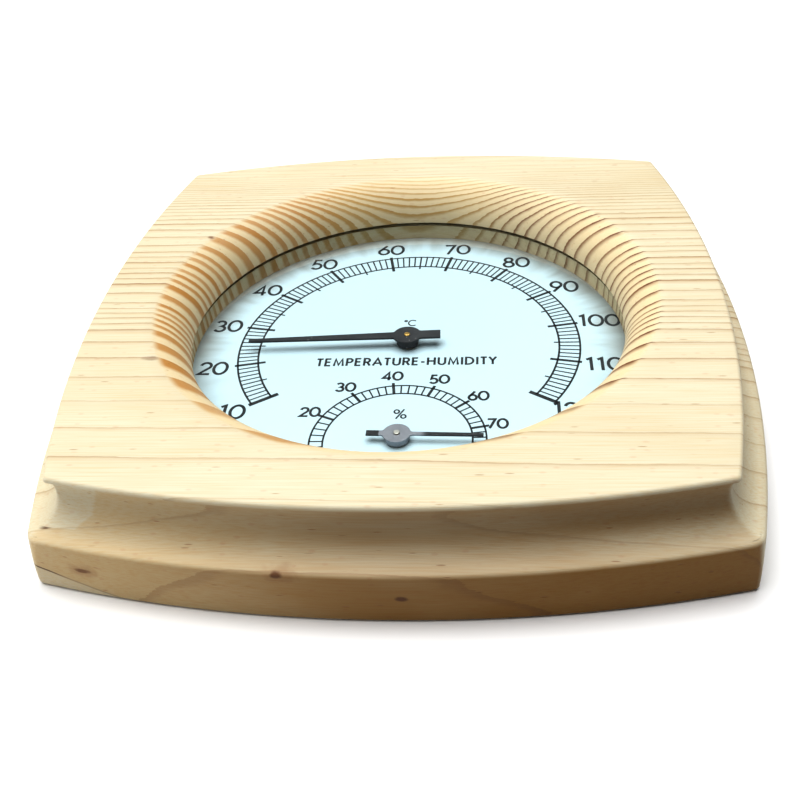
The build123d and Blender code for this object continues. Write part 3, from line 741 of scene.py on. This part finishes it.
# Glyphs on a height of 1: (advance width, [(points, closed), ...]).
GLYPHS = {
    "0": (0.72, [(bend(0.36, 0.5, 0.33, 0.47, 0, 348, 29), True)]),
    "1": (0.42, [([(0.06, 0.86), (0.27, 0.97), (0.27, 0.0)], False)]),
    "2": (0.60, [(bend(0.30, 0.70, 0.25, 0.26, 172, -32, 14) + [(0.03, 0.035), (0.58, 0.035)],
                  False)]),
    "3": (0.60, [(bend(0.28, 0.73, 0.22, 0.23, 155, -80, 12)
                  + bend(0.28, 0.27, 0.26, 0.24, 80, -160, 14), False)]),
    "4": (0.66, [([(0.47, 0.0), (0.47, 0.93), (0.04, 0.26), (0.64, 0.26)], False)]),
    "5": (0.60, [([(0.54, 0.965), (0.19, 0.965), (0.115, 0.53)]
                  + bend(0.28, 0.31, 0.27, 0.28, 118, -150, 16), False)]),
    "6": (0.62, [(bend(0.31, 0.31, 0.27, 0.28, 0, 348, 29), True),
                 ([(0.46, 0.99), (0.085, 0.44)], False)]),
    "7": (0.58, [([(0.02, 0.965), (0.54, 0.965), (0.16, 0.0)], False)]),
    "8": (0.60, [(bend(0.30, 0.75, 0.20, 0.21, 0, 345, 23), True),
                 (bend(0.30, 0.27, 0.26, 0.25, 0, 345, 23), True)]),
    "9": (0.62, [(bend(0.31, 0.69, 0.27, 0.28, 0, 348, 29), True),
                 ([(0.16, 0.01), (0.535, 0.56)], False)]),
    "T": (0.50, [([(0.0, 0.955), (0.50, 0.955)], False), ([(0.25, 0.93), (0.25, 0.0)], False)]),
    "E": (0.52, [([(0.46, 0.955), (0.06, 0.955), (0.06, 0.045), (0.46, 0.045)], False),
                 ([(0.08, 0.52), (0.43, 0.52)], False)]),
    "M": (0.86, [([(0.07, 0.0), (0.16, 0.93), (0.43, 0.12), (0.70, 0.93), (0.79, 0.0)], False)]),
    "P": (0.54, [([(0.06, 0.0), (0.06, 0.955), (0.26, 0.955)]
                  + bend(0.27, 0.71, 0.22, 0.245, 80, -90, 10) + [(0.08, 0.465)], False)]),
    "R": (0.58, [([(0.06, 0.0), (0.06, 0.955), (0.26, 0.955)]
                  + bend(0.27, 0.71, 0.22, 0.245, 80, -90, 10) + [(0.08, 0.465)], False),
                 ([(0.30, 0.46), (0.53, 0.0)], False)]),
    "A": (0.74, [([(0.03, 0.0), (0.37, 0.97), (0.71, 0.0)], False),
                 ([(0.17, 0.31), (0.57, 0.31)], False)]),
    "-": (0.34, [([(0.03, 0.40), (0.31, 0.40)], False)]),
    "H": (0.68, [([(0.06, 0.0), (0.06, 1.0)], False), ([(0.60, 0.0), (0.60, 1.0)], False),
                 ([(0.08, 0.52), (0.58, 0.52)], False)]),
    "U": (0.64, [([(0.06, 1.0), (0.06, 0.35)] + bend(0.32, 0.33, 0.26, 0.285, 185, 355, 12)
                  + [(0.58, 0.35), (0.58, 1.0)], False)]),
    "I": (0.16, [([(0.08, 0.0), (0.08, 1.0)], False)]),
    "D": (0.70, [([(0.06, 0.045), (0.06, 0.955), (0.20, 0.955)]
                  + bend(0.21, 0.5, 0.43, 0.455, 84, -84, 16)
                  + [(0.20, 0.045)], True)]),
    "Y": (0.58, [([(0.02, 1.0), (0.29, 0.50), (0.56, 1.0)], False),
                 ([(0.29, 0.52), (0.29, 0.0)], False)]),
    "C": (0.76, [(bend(0.46, 0.5, 0.41, 0.46, 48, 312, 22), False)]),
    "*": (0.34, [(bend(0.17, 0.84, 0.11, 0.11, 0, 330, 11), True)]),      # degree sign
    "%": (0.92, [(bend(0.22, 0.76, 0.17, 0.19, 0, 340, 17), True),
                 (bend(0.70, 0.24, 0.17, 0.19, 0, 340, 17), True),
                 ([(0.72, 1.0), (0.20, 0.0)], False)]),
}


def write(ink, text, centre, height, pen, spacing=0.12):
    """Upright text, centred on a point, all in millimetres."""
    advances = [GLYPHS[c][0] + spacing for c in text]
    x = centre[0] - (sum(advances) - spacing) * height / 2
    y = centre[1] - height / 2
    for char, advance in zip(text, advances):
        for points, closed in GLYPHS[char][1]:
            ink.stroke([(x + px * height, y + py * height) for px, py in points], pen, closed)
        x += advance * height


# Where each ten degrees stands on the dial, in degrees from +X: the steps are not quite even.
TEMPERATURE_BEARINGS = {10: 213.75, 20: 191.25, 30: 168.75, 40: 146.2, 50: 123.5, 60: 99.9,
                        70: 76.9, 80: 54.4, 90: 32.6, 100: 11.0, 110: -11.25, 120: -33.75}
HUMIDITY_BEARINGS = {10: 188.0, 20: 154.8, 30: 125.2, 40: 96.7, 50: 68.9, 60: 41.2, 70: 13.4,
                     80: -14.3, 90: -42.1}
# How far a numeral stands from its radial place, along X, in mm.
NUMERAL_SHIFT = {20: -1.0, 30: -1.0, 40: -0.6, 60: 0.5, 70: 0.5, 110: 1.0}
HUMIDITY_SHIFT = {20: 0.5, 70: -0.9}


# Line widths in mm, and letter heights as a share of DIAL_UNIT.
TEMPERATURE_RING, TEMPERATURE_MAJOR, TEMPERATURE_END = 0.50, 0.82, 1.1
HUMIDITY_RING, HUMIDITY_FINE, HUMIDITY_MAJOR = 0.44, 0.38, 0.72
LEGEND_HEIGHT, LEGEND_PEN = 0.070, 0.58
HUMIDITY_NUMERAL, HUMIDITY_PEN = 0.076, 0.64


def dial_print():
    ink = Print()
    unit = DIAL_UNIT
    # temperature scale
    centre = (0.0, 0.0)

    def temp(value):
        low = min(int(value) // 10 * 10, 110)
        start, end = TEMPERATURE_BEARINGS[low], TEMPERATURE_BEARINGS[low + 10]
        return math.radians(start + (end - start) * (value - low) / 10)

    outer, inner = 0.983 * unit, 0.866 * unit
    for radius in (outer, inner):
        ink.ring(centre, radius, TEMPERATURE_RING, temp(10), temp(120))
    for value in range(10, 121):
        if value % 10 == 0:
            end = value in (10, 120)
            ink.spoke(centre, temp(value), 0.824 * unit, 1.0 * unit,
                      TEMPERATURE_END if end else TEMPERATURE_MAJOR)
        elif value % 5 == 0:
            ink.spoke(centre, temp(value), 0.836 * unit, outer, 0.44)
        else:
            ink.spoke(centre, temp(value), inner, outer, 0.40)
    for value in range(10, 121, 10):
        reach = (1.128 if value == 100 else 1.10) * unit
        place = (reach * math.cos(temp(value)) + NUMERAL_SHIFT.get(value, 0.0),
                 reach * math.sin(temp(value)))
        write(ink, str(value), place, 0.116 * unit, 0.80, spacing=0.10)
    write(ink, "*C", (0.0, 0.217 * unit), 0.062 * unit, 0.36, spacing=0.04)
    write(ink, "TEMPERATURE-HUMIDITY", (0.0, -0.17 * unit), LEGEND_HEIGHT * unit,
          LEGEND_PEN, spacing=0.18)
    # humidity scale
    centre = (0.0, HYGROMETER_Y)

    def humid(value):
        low = min(int(value) // 10 * 10, 80)
        start, end = HUMIDITY_BEARINGS[low], HUMIDITY_BEARINGS[low + 10]
        return math.radians(start + (end - start) * (value - low) / 10)

    outer, inner = 0.457 * unit, 0.386 * unit
    for radius in (outer, inner):
        ink.ring(centre, radius, HUMIDITY_RING, humid(10), humid(90), 120)
    for value in range(10, 91, 2):
        if value % 10 == 0:
            ink.spoke(centre, humid(value), inner, 0.483 * unit, HUMIDITY_MAJOR)
        else:
            ink.spoke(centre, humid(value), inner, outer, HUMIDITY_FINE)
    for value in range(10, 91, 10):
        reach = 0.548 * unit
        place = (reach * math.cos(humid(value)) + HUMIDITY_SHIFT.get(value, 0.0),
                 HYGROMETER_Y + reach * math.sin(humid(value)))
        if math.hypot(*place) < RIM_RADIUS:
            write(ink, str(value), place, HUMIDITY_NUMERAL * unit, HUMIDITY_PEN, spacing=0.10)
    write(ink, "%", (0.0, HYGROMETER_Y + 0.21 * unit), 0.078 * unit, 0.40)
    return link("dial_print", ink.verts, ink.faces)


scale_ink = dial_print()
dress(scale_ink, "ink")
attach(scale_ink, "case")

# ================================================================ studio
FLOOR_SIZE = 6.0


def studio_floor():
    half = FLOOR_SIZE / 2 / MM
    floor = link("studio_floor", [(-half, -half, 0), (half, -half, 0), (half, half, 0),
                                  (-half, half, 0)], [(0, 1, 2, 3)])
    s = Shade("studio_floor")
    shade = s.mix(s.noise(300.0, 2.0), srgb(231, 231, 231), srgb(228, 228, 228))
    made = s.surface(shade, 0.07, Specular_IOR_Level=0.8)
    floor.data.materials.append(made)


def area_light(name, place, target, size, power, colour=(1, 1, 1)):
    """A softbox: place and target in metres, size (width, height) in metres, power in watts."""
    lamp = bpy.data.lights.new(name, "AREA")
    lamp.shape = "RECTANGLE"
    lamp.size, lamp.size_y = size
    lamp.energy = power
    lamp.color = colour
    obj = bpy.data.objects.new(name, lamp)
    obj.location = place
    obj.rotation_euler = (Vector(target) - Vector(place)).to_track_quat("-Z", "Y").to_euler()
    bpy.context.scene.collection.objects.link(obj)
    return obj


KEY_WATTS, FILL_WATTS, WORLD_STRENGTH = 23.0, 4.5, 0.12
DISPLAY_GAMMA = 0.8         # below 1 raises the contrast, towards the photo's
studio_floor()
area_light("key", (-0.08, 0.14, 0.95), (0, 0, 0), (1.15, 0.95), KEY_WATTS)
area_light("fill", (-0.9, -0.33, 0.12), (0, 0, 0.01), (0.3, 0.2), FILL_WATTS)

world = bpy.data.worlds.new("studio")
world.use_nodes = True
world.node_tree.nodes["Background"].inputs["Color"].default_value = (1, 1, 1, 1)
world.node_tree.nodes["Background"].inputs["Strength"].default_value = WORLD_STRENGTH
bpy.context.scene.world = world
bpy.context.scene.view_settings.view_transform = "Standard"
bpy.context.scene.view_settings.gamma = DISPLAY_GAMMA

CAMERA_PLACE = Vector((0.02293, -0.21338, 0.15904))
CAMERA_RIGHT = Vector((0.99536, 0.06996, -0.06607))
CAMERA_UP = Vector((0.00842, 0.62068, 0.78402))
CAMERA_LENS = 45.24
eye = bpy.data.cameras.new("camera")
eye.lens = CAMERA_LENS
eye.sensor_width = 36.0
eye.clip_start = 0.01
camera = bpy.data.objects.new("camera", eye)
turn = Matrix((CAMERA_RIGHT, CAMERA_UP, CAMERA_RIGHT.cross(CAMERA_UP))).transposed()
camera.matrix_world = Matrix.Translation(CAMERA_PLACE) @ turn.to_4x4()
bpy.context.scene.collection.objects.link(camera)
bpy.context.scene.camera = camera
